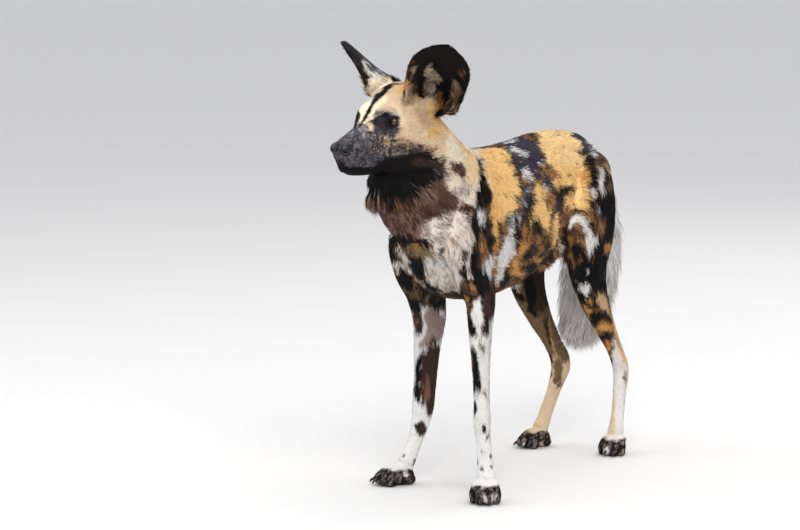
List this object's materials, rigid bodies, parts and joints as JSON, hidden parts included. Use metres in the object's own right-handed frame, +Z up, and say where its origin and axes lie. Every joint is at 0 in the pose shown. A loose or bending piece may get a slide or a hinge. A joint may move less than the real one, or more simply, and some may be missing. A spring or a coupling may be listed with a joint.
{
  "type": "african wild dog",
  "caption": "Life-size standing African wild dog with round upright ears, a throat ruff and a bushy tail, its head turned to its right.",
  "frame": {"origin": "on the floor under the middle of the whole box", "axes": "the body faces -Y, its left is +X, +Z is up"},
  "size_m": [0.3759, 0.9865, 0.9248],
  "materials": {
    "coat": "short coarse fur in black, tan and white patches",
    "face": "short dark fur, tan on the brow",
    "ruff": "long soft dark fur",
    "ears": "thin short fur over skin",
    "tail": "long pale brush",
    "paws": "short fur, black with white toes",
    "nose": "moist black skin",
    "eyes": "glossy dark brown"
  },
  "bodies": {
    "root": {"head": "face", "nose": "nose", "ear_left": "ears", "ear_right": "ears", "eye_left": "eyes", "eye_right": "eyes", "neck": "ruff", "torso": "coat", "tail_root": "tail", "tail_brush": "tail", "foreleg_left": "coat", "foreleg_right": "coat", "hindleg_left": "coat", "hindleg_right": "coat", "forepaw_left": "paws", "forepaw_right": "paws", "hindpaw_left": "paws", "hindpaw_right": "paws"}
  },
  "joints": []
}
